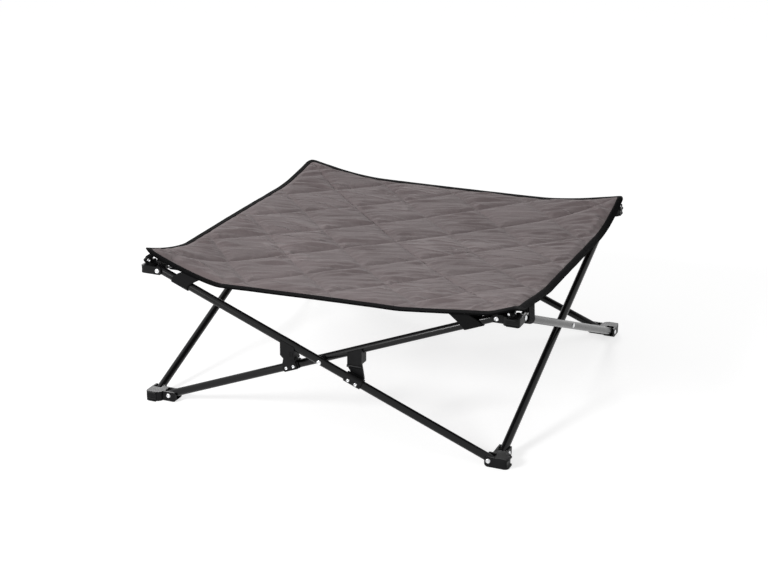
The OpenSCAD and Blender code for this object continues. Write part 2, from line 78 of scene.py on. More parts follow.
# Heights of the upper and lower pivots, and their distance from the middle of a side
TOP_Z = joints["front_outer_top"]["pos_m"][2]
FOOT_Z = joints["front_outer_foot"]["pos_m"][2]
PIVOT_X = -joints["front_outer_top"]["pos_m"][0]
# Distance of each tube's axis from the middle plane of its cross
PLANE = joints["front_inner_top"]["pos_m"][1] + HALF
# Angle between a tube and the floor
LEAN = math.atan2(TOP_Z - FOOT_Z, 2 * PIVOT_X)
SHEET_HALF = -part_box("sheet_front")[0].y
TUBE_R = 8 * MM

# ---- small helpers ----


def turned(side, p):
    """A point or direction given for the front side, turned to another side."""
    x, y, z = p
    for _ in range(side):
        x, y = -y, x
    return x, y, z


def turned_all(side, points):
    """turned() for an array of points."""
    out = np.array(points, float)
    for _ in range(side):
        out = np.stack([-out[..., 1], out[..., 0], out[..., 2]], axis=-1)
    return out


# Least angles in degrees between faces that make a sharp edge of cloth and of tape
CLOTH_SHARP = 60
TAPE_SHARP = 50


def new_mesh(name, points, faces, sharp_angle=None, smooth=True):
    """A mesh object from points and faces."""
    mesh = bpy.data.meshes.new(name)
    corners = [tuple(map(float, p)) for p in points]
    mesh.from_pydata(corners, [], [tuple(map(int, f)) for f in faces])
    mesh.validate()
    mesh.update()
    if smooth:
        mesh.shade_smooth()
    if sharp_angle is not None:
        mesh.set_sharp_from_angle(angle=math.radians(sharp_angle))
    piece = bpy.data.objects.new(name, mesh)
    bpy.context.scene.collection.objects.link(piece)
    return piece


def dress(piece, cloth, thread, first_stitch):
    """Cloth for a piece, and thread for all its faces from the first stitch on."""
    piece.data.materials.append(cloth)
    piece.data.materials.append(thread)
    for face in piece.data.polygons[first_stitch:]:
        face.material_index = 1


def grid_faces(rows, columns, wrap_rows=False, flip=False):
    """Quads of a grid of points stored row by row."""
    faces = []
    for r in range(rows if wrap_rows else rows - 1):
        r2 = (r + 1) % rows
        for c in range(columns - 1):
            quad = (r * columns + c, r * columns + c + 1, r2 * columns + c + 1, r2 * columns + c)
            faces.append(quad[::-1] if flip else quad)
    return faces


def add_slab(points, faces, over, under):
    """A closed slab between two nets of the same size, the first one on top."""
    start = len(points)
    rows, columns = over.shape[:2]
    size = rows * columns
    rim = [*range(columns), *range(2 * columns - 1, size, columns)]
    rim += [*range(size - 2, size - columns - 1, -1), *range(size - 2 * columns, 0, -columns)]
    for face in grid_faces(rows, columns):
        faces.append([i + start for i in face])
        faces.append([i + start + size for i in reversed(face)])
    for a, b in zip(rim, rim[1:] + rim[:1]):
        faces.append([i + start for i in (b, a, a + size, b + size)])
    points += [*over.reshape(-1, 3), *under.reshape(-1, 3)]


STITCH_FACES = (
    (0, 2, 4), (2, 1, 4), (1, 3, 4), (3, 0, 4), (2, 0, 5), (1, 2, 5), (3, 1, 5), (0, 3, 5),
)


def add_stitch(points, faces, start, end, across, up):
    """One stitch of thread as a slender bead from start to end."""
    base = len(points)
    middle = (start + end) / 2
    points += [start, end, middle + across, middle - across, middle + up, middle - up]
    faces += [tuple(base + i for i in face) for face in STITCH_FACES]


NOISE_WAVES = 14
NOISE_SPREAD = (0.6, 1.7)


def smooth_noise(seed, points, scale):
    """Repeatable smooth noise from a few seeded waves, about -1 to 1."""
    rng = np.random.default_rng(seed)
    total = np.zeros(points.shape[:-1])
    for _ in range(NOISE_WAVES):
        angle = rng.uniform(0, 2 * math.pi)
        size = scale * rng.uniform(*NOISE_SPREAD)
        phase = rng.uniform(0, 2 * math.pi)
        along = points[..., 0] * math.cos(angle) + points[..., 1] * math.sin(angle)
        total += np.sin(2 * math.pi * along / size + phase)
    return total / math.sqrt(NOISE_WAVES)


def normals_of(net):
    """Unit normals of a net."""
    n = np.cross(np.gradient(net, axis=0), np.gradient(net, axis=1))
    return n / np.linalg.norm(n, axis=-1, keepdims=True)


# ---- materials ----

# A wave texture of this scale has about one band in a metre
WAVE_SCALE = 0.31831
# Depth of a cloth's fuzz as a share of the depth of its weave
FUZZ_SHARE = 0.7
# Creases in the quilt's shader: the turn and the scale of the noise of each set, how
# that noise is drawn out, the half width of a crease in the noise, and its depth
CREASE_SETS = ((0.38, 0.75), (-0.25, 0.6))
CREASE_STRETCH = (2.2, 13, 4)
CREASE_WIDTH = 0.022
CREASE_DEPTH = 0.003
# Painted highlight: a colour lighter than the cloth, mixed in along the crease crests
CREASE_HIGHLIGHT_COLOR = (0.30, 0.26, 0.26, 1)


class Nodes:
    """Short ways to add and join the shader nodes of a new material."""

    def __init__(self, name):
        self.material = bpy.data.materials.new(name)
        self.material.use_nodes = True
        self.tree = self.material.node_tree
        self.shader = self.tree.nodes["Principled BSDF"]

    def set(self, **values):
        """Constant inputs of the shader, with _ for each space in a name."""
        for key, value in values.items():
            self.shader.inputs[key.replace("_", " ")].default_value = value

    def feed(self, name, output):
        """Joins an output to an input of the shader."""
        self.link(output, self.shader.inputs[name])

    def link(self, output, socket):
        """Joins an output to an input of another node."""
        self.tree.links.new(output, socket)

    def add(self, kind, **settings):
        """A node with its constant inputs and its properties."""
        node = self.tree.nodes.new(kind)
        for key, value in settings.items():
            socket = node.inputs.get(key.replace("_", " "))
            if socket is None:
                setattr(node, key, value)
            else:
                socket.default_value = value
        return node

    def place(self):
        """The object's own coordinates, in metres."""
        return self.add("ShaderNodeTexCoord").outputs["Object"]

    def noise(self, scale, detail=4.0, rough=0.5, place=None):
        """Noise with this many cells in a metre."""
        node = self.add("ShaderNodeTexNoise", Scale=scale, Detail=detail, Roughness=rough)
        self.link(place or self.place(), node.inputs["Vector"])
        return node.outputs["Fac"]

    def math(self, operation, *values):
        """A math node on outputs of other nodes and on numbers."""
        node = self.add("ShaderNodeMath", operation=operation)
        for socket, value in zip(node.inputs, values):
            if isinstance(value, (int, float)):
                socket.default_value = value
            else:
                self.link(value, socket)
        return node.outputs[0]

    def ramp(self, value, low, high, at=(0.35, 0.65)):
        """A colour that passes from low to high between two values."""
        node = self.add("ShaderNodeValToRGB")
        for stop, position, color in zip(node.color_ramp.elements, at, (low, high)):
            stop.position = position
            stop.color = (*color, 1)
        self.link(value, node.inputs["Fac"])
        return node.outputs["Color"]

    def span(self, value, **settings):
        """A map range node, with To_Min and To_Max as its usual settings."""
        node = self.add("ShaderNodeMapRange", **settings)
        self.link(value, node.inputs["Value"])
        return node.outputs["Result"]

    def bump(self, height, distance, strength, below=None):
        """The surface normal with a relief, over the normal of a relief below it."""
        node = self.add("ShaderNodeBump", Distance=distance, Strength=strength)
        self.link(height, node.inputs["Height"])
        if below is not None:
            self.link(below, node.inputs["Normal"])
        return node.outputs["Normal"]


def tube_paint():
    """Gloss black powder coat with a faint orange peel."""
    m = Nodes("tube_black_coat")
    m.set(Base_Color=(0.006, 0.006, 0.0065, 1), Specular_IOR_Level=0.14)
    m.set(Coat_Weight=0.16, Coat_Roughness=0.05)
    m.feed("Roughness", m.span(m.noise(60.0), To_Min=0.20, To_Max=0.30))
    m.feed("Normal", m.bump(m.noise(900.0, 2.0), distance=0.00004, strength=0.6))
    return m.material


def moulding():
    """Fine matt black moulded nylon."""
    m = Nodes("moulded_black_nylon")
    dark, pale = (0.004, 0.004, 0.0043), (0.007, 0.007, 0.0075)
    m.feed("Base Color", m.ramp(m.noise(45.0), dark, pale))
    m.set(Specular_IOR_Level=0.14)
    m.feed("Roughness", m.span(m.noise(120.0), To_Min=0.34, To_Max=0.50))
    m.feed("Normal", m.bump(m.noise(2200.0, 3.0), distance=0.00005, strength=0.7))
    return m.material


def rivet_metal():
    """Bright nickel-plated steel."""
    m = Nodes("rivet_nickel")
    m.set(Metallic=1.0)
    dark, pale = (0.62, 0.63, 0.64), (0.80, 0.80, 0.81)
    m.feed("Base Color", m.ramp(m.noise(300.0), dark, pale))
    m.feed("Roughness", m.span(m.noise(500.0), To_Min=0.18, To_Max=0.34))
    return m.material


def drawn_creases(m, place):
    """Long fine creases, drawn out across the cloth: 1 along each crest. The quilt uses it for
    its relief and for the highlight painted along the crests.
    """
    crests = []
    for turn, scale in CREASE_SETS:
        stretch = m.add("ShaderNodeMapping", Rotation=(0, 0, turn), Scale=CREASE_STRETCH)
        m.link(place, stretch.inputs["Vector"])
        lines = m.noise(scale, detail=2.0, rough=0.55, place=stretch.outputs["Vector"])
        off = m.math("ABSOLUTE", m.math("SUBTRACT", lines, 0.5))
        crests.append(m.span(
            off, interpolation_type="SMOOTHSTEP", From_Max=CREASE_WIDTH, To_Min=1.0, To_Max=0.0,
        ))
    patchy = m.span(m.noise(9.0, detail=2.0, place=place), From_Min=0.42, From_Max=0.6)
    return m.math("MULTIPLY", m.math("MAXIMUM", *crests), patchy)


def woven(name, low, high, thread, roughness, depth, sheen=0.0, gloss=0.1, creased=False):
    """Woven cloth: two crossing sets of threads as bump, with an uneven colour; when creased,
    creases in the relief with a highlight painted along their crests.
    """
    m = Nodes(name)
    place = m.place()
    heights = []
    for axis in ("X", "Y"):
        wave = m.add(
            "ShaderNodeTexWave", wave_type="BANDS", bands_direction=axis,
            Scale=WAVE_SCALE / thread, Distortion=0.6, Detail=1.0,
        )
        m.link(place, wave.inputs["Vector"])
        heights.append(wave.outputs["Fac"])
    fuzz = m.noise(1500.0, detail=3.0, rough=0.6, place=place)
    normal = m.bump(m.math("MULTIPLY", *heights), depth, strength=0.8)
    normal = m.bump(fuzz, FUZZ_SHARE * depth, strength=0.5, below=normal)
    dye_and_highlight = m.ramp(m.noise(9.0, detail=6.0, rough=0.6, place=place), low, high, at=(0.3, 0.7))
    if creased:
        creases = drawn_creases(m, place)
        normal = m.bump(creases, CREASE_DEPTH, strength=1.0, below=normal)
        # Painted highlight: mixes a lighter colour into the cloth along the crease crests, up to
        # 0.3 of the mix
        highlight_mix = m.add("ShaderNodeMix", data_type="RGBA", blend_type="MIX")
        m.link(m.span(creases, To_Min=0.0, To_Max=0.3), highlight_mix.inputs["Factor"])
        # Inputs 6 and 7 and output 2 are the colours A, B and Result
        m.link(dye_and_highlight, highlight_mix.inputs[6])
        highlight_mix.inputs[7].default_value = CREASE_HIGHLIGHT_COLOR
        dye_and_highlight = highlight_mix.outputs[2]
    m.feed("Normal", normal)
    m.feed("Base Color", dye_and_highlight)
    m.set(Roughness=roughness, Specular_IOR_Level=gloss)
    m.set(Sheen_Weight=sheen, Sheen_Roughness=0.5)
    return m.material


TUBE = tube_paint()
MOULDED = moulding()
RIVET = rivet_metal()
QUILT = woven(
    "sheet_quilt_cloth", low=(0.156, 0.128, 0.129), high=(0.196, 0.160, 0.162),
    thread=0.0011, roughness=0.85, depth=0.00016, sheen=0.08, gloss=0.12, creased=True,
)
TAPE = woven(
    "binding_tape", low=(0.0018, 0.0018, 0.002), high=(0.0036, 0.0036, 0.004),
    thread=0.0009, roughness=0.85, depth=0.00014, gloss=0.04,
)
THREAD = woven(
    "stitching_thread", low=(0.022, 0.020, 0.020), high=(0.042, 0.039, 0.039),
    thread=0.0004, roughness=0.6, depth=0.00005,
)
QUILT_THREAD = woven(
    "quilting_thread", low=(0.215, 0.185, 0.185), high=(0.27, 0.235, 0.235),
    thread=0.0004, roughness=0.6, depth=0.00005,
)
WEBBING = woven(
    "loop_webbing", low=(0.0045, 0.0045, 0.0048), high=(0.0095, 0.0095, 0.010),
    thread=0.0016, roughness=0.8, depth=0.0003,
)


def finish_cad_nodes():
    """Gives the carried-over CAD nodes their finish."""
    for name, node in frame["nodes"].items():
        if name.endswith("_tube"):
            look = TUBE
        elif "rivet" in name:
            look = RIVET
        else:
            look = MOULDED
        for socket in node.material_slots:
            socket.material = look


# ---- the rim of the sheet ----

# Height of the rim's top above the upper pivots: at each corner, and along each side at
# its left end, its middle and its right end as seen from outside
CORNER_TOP = [43 * MM, 18 * MM, 36.5 * MM, 37 * MM]
SIDE_TOP = [
    (-20 * MM, -9.5 * MM, -3 * MM),
    (-8 * MM, -11 * MM, -9 * MM),
    (12 * MM, 8.4 * MM, 9 * MM),
    (9 * MM, 7.7 * MM, -7 * MM),
]
# How softly the heights of the four sides pass into each other
SIDE_MIX = 12 * MM
# How far the rim of each side hangs below the sheet inside its binding
RIM_DROOP = [2 * MM, 6 * MM, -0.5 * MM, 0.5 * MM]
DROOP_REACH = 14 * MM
# Reach and steepness of the lift at each corner, and a steeper tip with its own reach
LIFTS = [(170 * MM, 1.3), (230 * MM, 1.2), (190 * MM, 1.7), (190 * MM, 1.7)]
TIPS = [0, 10 * MM, 0, 0]
TIP_REACH = 60 * MM
CORNER_R = [29 * MM, 13 * MM, 17 * MM, 20 * MM]
# Inward bow of each side, and the place on it where the bow ends
EDGE_BOW = 3 * MM
BOW_END = SHEET_HALF - 44 * MM
# The folded tape: its width, its thickness, and how far it stands out past the rim
BAND_W = 13 * MM
BAND_T = 3.6 * MM
BAND_OUT = 2 * MM


def side_values(x, y):
    """For each side: the distance from it, and the place along it from -1 to 1."""
    h = SHEET_HALF
    return ((h + y, x / h), (h - x, y / h), (h - y, -x / h), (h + x, -y / h))


def side_shares(x, y):
    """How much each side has to say at a point of the plan."""
    near = [1 / (gap**2 + SIDE_MIX**2) for gap, _ in side_values(x, y)]
    return [share / sum(near) for share in near]


def corner_place(corner):
    """Plan place of a corner of the flat sheet."""
    return turned(corner, (-SHEET_HALF, -SHEET_HALF, 0))[:2]


def edge_bow(t):
    """How far a side curves inwards at a place along it."""
    return EDGE_BOW * np.clip(1 - (t * SHEET_HALF / BOW_END) ** 2, 0, 1)


def rim_gap(x, y):
    """Distance of a point of the plan inwards from the rim."""
    dx, dy = SHEET_HALF - np.abs(x), SHEET_HALF - np.abs(y)
    plain = np.minimum(dx - edge_bow(y / SHEET_HALF), dy - edge_bow(x / SHEET_HALF))
    r = np.where(y < 0, np.where(x < 0, *CORNER_R[:2]), np.where(x < 0, *CORNER_R[:1:-1]))
    rounded = r - np.hypot(r - dx, r - dy)
    return np.where((dx < r) & (dy < r), rounded, plain)


def rim_level(x, y):
    """Height of the rim's top, carried on inwards over the whole plan of the bed."""
    x, y = np.asarray(x, float), np.asarray(y, float)
    level = 0
    for share, (a, b, c), (_, t) in zip(side_shares(x, y), SIDE_TOP, side_values(x, y)):
        level = level + share * (a * t * (t - 1) / 2 + b * (1 - t**2) + c * t * (t + 1) / 2)
    for k, (top, (reach, power), tip) in enumerate(zip(CORNER_TOP, LIFTS, TIPS)):
        cx, cy = corner_place(k)
        away = np.hypot(x - cx, y - cy)
        level = level + (top - level) * (1 - np.clip(away / reach, 0, 1)) ** power
        far = np.clip(away / TIP_REACH, 0, 1)
        level = level + tip * (1 - 3 * far**2 + 2 * far**3)
    return TOP_Z + level


def droop(x, y):
    """How far the rim nearest to a point hangs below the sheet inside it."""
    return sum(share * depth for share, depth in zip(side_shares(x, y), RIM_DROOP))


def edge_fall(x, y):
    """How much of the droop has happened at a point, over the last stretch to the rim."""
    inside = np.clip(rim_gap(x, y) / DROOP_REACH, 0, 1)
    return droop(x, y) * (1 - inside) ** 2


def sheet_level(x, y):
    """Height of the middle of the sheet near its rim."""
    return rim_level(x, y) - BAND_T / 2 + droop(x, y) - edge_fall(x, y)


def end_radius(side, x):
    """Radius of the corner at the end of a side that a place belongs to."""
    return np.where(x < 0, CORNER_R[side], CORNER_R[(side + 1) % 4])


def rim_outward(side, along):
    """Outward direction in plan along a side's rim, as on the front."""
    x = np.asarray(along, float) * SHEET_HALF
    bend = 1 - np.clip((SHEET_HALF - np.abs(x)) / end_radius(side, x), 0, 1)
    turn = math.pi / 4 * bend
    return np.stack([np.sign(x) * np.sin(turn), -np.cos(turn)], -1)


def rim_plan(side, along, inset=0.0):
    """Plan place of a side's rim, as on the front: a rounded corner and an inward bow."""
    x = np.asarray(along, float) * SHEET_HALF
    r = end_radius(side, x)
    from_corner = SHEET_HALF - np.abs(x)
    angle = math.pi / 4 * (1 + np.clip(from_corner / r, 0, 1))
    near = from_corner < r
    centre = SHEET_HALF - r
    y = np.where(near, -centre - r * np.sin(angle), -SHEET_HALF) + edge_bow(np.asarray(along))
    x = np.where(near, np.sign(x) * (centre + r * np.cos(angle)), x)
    outward = rim_outward(side, along)
    return x - inset * outward[..., 0], y - inset * outward[..., 1]


def on_sheet(side, x, y, above=0.0):
    """Points given in the plan of the front side, turned and set on the sheet's middle."""
    points = turned_all(side, np.stack([x, y, np.zeros(np.shape(x))], -1))
    points[..., 2] = sheet_level(points[..., 0], points[..., 1]) + above
    return points


# ---- the sheet ----

# The net that is settled, and how often each of its cells is divided afterwards
SIM_CELLS = 72
UPSAMPLE = 4
CELLS = SIM_CELLS * UPSAMPLE
# Distance of each skin from the sheet's middle, before the quilting's puff
SKIN_OFF = 1 * MM
SHEET_SAG = 12 * MM
SIM_SAG = SHEET_SAG / 4
SIM_FRAMES = 30
# Most that a point may move in the simulation
SIM_CAP = 8 * MM
SIM_GRAVITY = 0.25
CLOTH = {
    "quality": 6,
    "mass": 0.1,
    "tension_stiffness": 60,
    "compression_stiffness": 60,
    "shear_stiffness": 30,
    "bending_stiffness": 0.4,
    "air_damping": 2.0,
    "shrink_min": -0.0012,
    "vertex_group_mass": "rim",
}
# Quilting: distance between its lines along a side, height of a puff, width of a
# channel, and share of the puff on the underside
QUILT_PITCH = 170 * MM
QUILT_LINES = range(-4, 5)
QUILT_PUFF = 5 * MM
CHANNEL_W = 11 * MM
UNDER_PUFF = 0.45
# Cloth at the tape: where it is still flat, over what distance the quilting rises to its
# full height, and the power of that rise
FLAT_START = 0.8 * BAND_W
FLAT_REACH = 14 * MM
FLAT_POWER = 0.7
# Puckers beside the channels: height, wavelength, how it changes away from a channel,
# and how close to the seam they fade
PUCKER = 0.65 * MM
PUCKER_SIZE = 17 * MM
PUCKER_STRETCH = 0.03
PUCKER_SEED = 11
SEAM_REACH = 3 * MM
# Stitches in the channels: pitch, half length, half width, half height, height over the
# skin, and distance kept from the diagonals
QUILT_STITCH = 4.6 * MM
STITCH_HALF = 0.31 * QUILT_STITCH
STITCH_WIDE = 0.5 * MM
STITCH_HIGH = 0.45 * MM
STITCH_LIFT = 0.1 * MM
STITCH_CLEAR = 2 * MM
# Drawn folds: height, and then seed, stretch in x and y, lean and wavelength
DRAG_FOLD = 1.25 * MM
DRAG = (5, 0.22, 0.1, 0.35, 34 * MM)
FINE_FOLD = 0.6 * MM
FINE = (6, 0.15, 0, 0.42, 13 * MM)
LINE_FOLD = 2 * MM
LINES = ((8, 0.2, 0.08, 0.42, 70 * MM), (9, 0.2, 0.08, 0.25, 95 * MM))
LINE_SHARP = 0.4
# Share of the drawn folds in calm places, what lively places add, and how lively they get
CALM_SHARE = 0.4
LIVELY_SHARE = 0.6
LIVELY_MOST = 1.6
PATCHY_SEED = 7
PATCHY_SIZE = 150 * MM
# Crease across each corner: its distance in, its slant and its height
CREASES = [
    (62 * MM, 0.25, 2.2 * MM),
    (95 * MM, -0.2, 3 * MM),
    (80 * MM, 0.1, 2 * MM),
    (88 * MM, -0.1, 2 * MM),
]
# Its half width, its half length as a share of its distance, and how far and in what
# waves it wanders
CREASE_HALF = 4 * MM
CREASE_REACH = 1.5
CREASE_WANDER = 6 * MM
CREASE_WAVE = 120 * MM
CREASE_DRAWN = 0.2
CREASE_SEED = 40
# Trough beside a crease: its place and width in half widths, and its depth as a share
TROUGH_AT = 2.2
TROUGH_WIDTH = 1.6
TROUGH_DEPTH = 0.7
# Folds that fan out of each corner: how many in a full turn, their turn from corner to
# corner, their height, their reach as a share of the crease's distance, how far outside
# the corner they meet, and where they have their full height
FAN_FOLDS = 9
FAN_TURN = 1.3
FAN_HEIGHT = 0.5 * MM
FAN_REACH = 3
FAN_ORIGIN = 12 * MM
FAN_START = 30 * MM


def starting_net(sag):
    """Net of the sheet's middle, spanned between its four rims, with an even sag."""
    t = np.linspace(-1, 1, SIM_CELLS + 1)
    south, east, north, west = (on_sheet(side, *rim_plan(side, t)) for side in range(4))
    north, west = north[::-1], west[::-1]
    u = ((t + 1) / 2)[:, None, None]
    v = ((t + 1) / 2)[None, :, None]
    corners = (
        (1 - u) * (1 - v) * south[0] + u * (1 - v) * south[-1]
        + (1 - u) * v * north[0] + u * v * north[-1]
    )
    across = (1 - v) * south[:, None] + v * north[:, None]
    along = (1 - u) * west[None] + u * east[None]
    net = across + along - corners
    x, y = net[..., 0], net[..., 1]
    bowl = (1 - (x / SHEET_HALF) ** 2) * (1 - (y / SHEET_HALF) ** 2)
    net[..., 2] = rim_level(x, y) - BAND_T / 2 + droop(x, y) - sag * bowl
    return net


def sagged(net):
    """The net after it has settled under its own weight, held along its rim."""
    size = net.shape[0]
    points = net.reshape(-1, 3)
    trial = new_mesh("sheet_trial", points, grid_faces(size, size))
    pins = trial.vertex_groups.new(name="rim")
    on_edge = np.ones((size, size), bool)
    on_edge[1:-1, 1:-1] = False
    pins.add(np.flatnonzero(on_edge).tolist(), 1.0, "REPLACE")
    cloth = trial.modifiers.new("settle", "CLOTH")
    for name, value in CLOTH.items():
        setattr(cloth.settings, name, value)
    cloth.settings.effector_weights.gravity = SIM_GRAVITY
    cloth.point_cache.frame_start = 1
    cloth.point_cache.frame_end = SIM_FRAMES
    scene = bpy.context.scene
    for step in range(1, SIM_FRAMES + 1):
        scene.frame_set(step)
    settled = trial.evaluated_get(bpy.context.evaluated_depsgraph_get()).to_mesh()
    out = np.empty(len(points) * 3)
    settled.vertices.foreach_get("co", out)
    scene.frame_set(1)
    bpy.data.objects.remove(trial, do_unlink=True)
    moved = out.reshape(size, size, 3) - net
    farthest = np.linalg.norm(moved, axis=-1).max()
    return net + moved * min(1, SIM_CAP / farthest)


def upsampled(net, times):
    """Catmull-Rom refinement of a net along both ways."""
    for _ in range(2):
        padded = np.concatenate([2 * net[:1] - net[1:2], net, 2 * net[-1:] - net[-2:-1]])
        t = (np.arange(times) / times)[None, :, None, None]
        p0, p1, p2, p3 = (padded[k:len(padded) - 3 + k, None] for k in range(4))
        fine = 0.5 * (
            2 * p1 + (p2 - p0) * t + (2 * p0 - 5 * p1 + 4 * p2 - p3) * t**2
            + (3 * p1 - p0 - 3 * p2 + p3) * t**3
        )
        fine = fine.reshape(-1, *net.shape[1:])
        net = np.concatenate([fine, net[-1:]]).swapaxes(0, 1)
    return net


def ridge(off, width):
    """A crease: a sharp fold with a shallow trough beside it."""
    trough = np.exp(-(((off - TROUGH_AT * width) / (TROUGH_WIDTH * width)) ** 2))
    return np.exp(-np.abs(off) / width) - TROUGH_DEPTH * trough


def corner_creases(x, y):
    """Creases that cross each lifted corner, and folds that fan out of it."""
    height = np.zeros(x.shape)
    for k, (far, slant, depth) in enumerate(CREASES):
        cx, cy = corner_place(k)
        dx, dy, _ = turned(k, (1, 1, 0))
        inward = ((x - cx) * dx + (y - cy) * dy) / math.sqrt(2)
        across = ((y - cy) * dx - (x - cx) * dy) / math.sqrt(2)
        line = np.stack([across, inward * CREASE_DRAWN], -1)
        bend = CREASE_WANDER * smooth_noise(CREASE_SEED + k, line, CREASE_WAVE)
        crease = ridge(inward - far - slant * across + bend, CREASE_HALF)
        height += depth * crease * np.exp(-((across / (CREASE_REACH * far)) ** 2))
        angle = np.arctan2(across, inward + FAN_ORIGIN)
        fan = np.cos(FAN_FOLDS * angle + FAN_TURN * k)
        near = np.clip(1 - inward / (FAN_REACH * far), 0, 1)
        height += FAN_HEIGHT * fan * near * np.clip(inward / FAN_START, 0, 1)
    return height


def drawn_noise(x, y, seed, along_x, along_y, lean, size):
    """Smooth noise in long folds that lean a little across the bed."""
    points = np.stack([x * along_x + y * along_y, y - lean * x], -1)
    return smooth_noise(seed, points, size)


def quilting(flat):
    """Height of the quilted puffs, puckers and creases over the flat sheet."""
    x, y = flat[..., 0], flat[..., 1]
    nearest = np.full(x.shape, 1.0)
    pucker = np.zeros(x.shape)
    for sign in (-1, 1):
        across = (x + sign * y) / QUILT_PITCH
        off = np.abs(across - np.round(across)) * QUILT_PITCH / math.sqrt(2)
        nearest = np.minimum(nearest, off)
        line = np.stack([x - sign * y, across * PUCKER_STRETCH], -1)
        wave = smooth_noise(PUCKER_SEED + sign, line, PUCKER_SIZE)
        pucker += wave * np.exp(-off / PUCKER_SIZE) * (1 - np.exp(-off / SEAM_REACH))
    puff = 1 - np.exp(-nearest / CHANNEL_W)
    height = QUILT_PUFF * puff + PUCKER * pucker
    # The tension between the corners draws the folds nearly straight across the bed
    lines = sum(np.exp(-np.abs(drawn_noise(x, y, *line)) / LINE_SHARP) for line in LINES)
    folds = DRAG_FOLD * drawn_noise(x, y, *DRAG) + FINE_FOLD * drawn_noise(x, y, *FINE)
    folds = folds + LINE_FOLD * lines
    patchy = smooth_noise(PATCHY_SEED, flat, PATCHY_SIZE)
    patchy = CALM_SHARE + LIVELY_SHARE * np.clip(patchy + 0.5, 0, LIVELY_MOST)
    return height + folds * puff * patchy + corner_creases(x, y)


def sheet_surface():
    """The quilted top of the sheet, and its underside."""
    net = starting_net(SIM_SAG)
    net = sagged(net)
    net = upsampled(net, UPSAMPLE)
    net[..., 2] -= edge_fall(net[..., 0], net[..., 1])
    t = np.linspace(-SHEET_HALF, SHEET_HALF, CELLS + 1)
    flat = np.stack(np.meshgrid(t, t, indexing="ij"), -1)
    normal = normals_of(net)
    gap = rim_gap(net[..., 0], net[..., 1])
    free = np.clip((gap - FLAT_START) / FLAT_REACH, 0, 1)
    puff = (quilting(flat) * free**FLAT_POWER)[..., None]
    return net + normal * (puff + SKIN_OFF), net - normal * (UNDER_PUFF * puff + SKIN_OFF)


def grid_point(skin, x, y):
    """Points of a skin of the sheet at places of its flat pattern."""
    i, j = ((v + SHEET_HALF) / (2 * SHEET_HALF) * CELLS for v in (x, y))
    i0, j0 = (np.clip(v.astype(int), 0, CELLS - 1) for v in (i, j))
    a, b = (i - i0)[:, None], (j - j0)[:, None]
    return (
        (1 - a) * (1 - b) * skin[i0, j0] + a * (1 - b) * skin[i0 + 1, j0]
        + (1 - a) * b * skin[i0, j0 + 1] + a * b * skin[i0 + 1, j0 + 1]
    )


def add_quilt_stitches(side, skin, lift, points, faces):
    """Stitches in the quilting channels of one quarter of the sheet."""
    spots = np.arange(-SHEET_HALF, SHEET_HALF, QUILT_STITCH)
    edge = SHEET_HALF - BAND_W
    raised = np.array([0, 0, lift])
    up = np.array([0, 0, STITCH_HIGH])
    for sign in (-1, 1):
        wide = np.array([1.0, sign, 0]) / math.sqrt(2) * STITCH_WIDE
        for line in QUILT_LINES:
            x = spots
            y = sign * (line * QUILT_PITCH - x)
            across, out, _ = turned((4 - side) % 4, (x, y, 0 * x))
            inside = (out < -np.abs(across) - STITCH_CLEAR) & (out > -edge)
            inside &= (np.abs(x) < edge) & (np.abs(y) < edge)
            x, y = x[inside], y[inside]
            starts = grid_point(skin, x - STITCH_HALF, y + sign * STITCH_HALF)
            ends = grid_point(skin, x + STITCH_HALF, y - sign * STITCH_HALF)
            for start, end in zip(starts, ends):
                add_stitch(points, faces, start + raised, end + raised, wide, up)


def gore_cells(side):
    """Cells and half cells of the grid that belong to a side, as corner index lists."""
    n = CELLS
    cells = []
    for i in range(n):
        for j in range(n):
            a, b, c, d = (i, j), (i + 1, j), (i + 1, j + 1), (i, j + 1)
            x, y = 2 * i + 1 - n, 2 * j + 1 - n
            if abs(x) != abs(y):
                owner = (0 if y < 0 else 2) if abs(y) > abs(x) else (1 if x > 0 else 3)
                if owner == side:
                    cells.append((a, b, c, d))
                continue
            # A diagonal cuts this cell, so two sides share it
            if x == y:
                halves = {0: (a, b, c), 3: (a, c, d)} if x < 0 else {1: (a, b, c), 2: (a, c, d)}
            else:
                halves = {0: (a, b, d), 1: (b, c, d)} if x > 0 else {3: (a, b, d), 2: (b, c, d)}
            if side in halves:
                cells.append(halves[side])
    return cells


def make_gore(side, top, under):
    """One quarter of the sheet as a closed piece that rides on its gore body."""
    index, points, faces = {}, [], []
    cells = gore_cells(side)
    for cell in cells:
        for corner in cell:
            index.setdefault(corner, len(index))
    for skin in (top, under):
        points += [skin[i, j] for i, j in index]
    shift = len(index)
    borders = {}
    for cell in cells:
        ids = [index[c] for c in cell]
        faces.append(ids)
        faces.append([i + shift for i in reversed(ids)])
        borders.update(dict.fromkeys(zip(ids, ids[1:] + ids[:1])))
    for a, b in borders:
        if (b, a) not in borders:
            faces.append((b, a, a + shift, b + shift))
    cloth_faces = len(faces)
    add_quilt_stitches(side, top, STITCH_LIFT, points, faces)
    add_quilt_stitches(side, under, -STITCH_LIFT, points, faces)
    piece = new_mesh("quilted_sheet_" + SIDES[side], points, faces, CLOTH_SHARP)
    dress(piece, QUILT, QUILT_THREAD, cloth_faces)
    return piece


def fold_with_gore(piece, side):
    """Lets a piece of the sheet swing with its gore, on a mesh of its own."""
    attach(piece, "sheet_" + SIDES[side])
    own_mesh(piece)


# ---- binding ----

# Points of the tape's net: along a side, round its outer fold, and on a flat face
BAND_STEPS = 144
BAND_TURNS = 9
BAND_FLAT_STEPS = 6
# Places along a side at which the row of stitches is measured
RIM_SAMPLES = 1500
# Slight waviness of the tape in plan
BAND_WAVE = 0.3 * MM
BAND_WAVE_SIZE = 60 * MM
BAND_SEED = 20
# The tape's flat part, from near its inner edge to its outer fold, how much thinner it
# gets on the way inwards, as a share, and the bevel of its inner edge
BAND_FLAT = (BAND_W - 0.8 * MM, 2.4 * MM)
BAND_TAPER = 0.12
BAND_BEVEL = 1.2 * MM
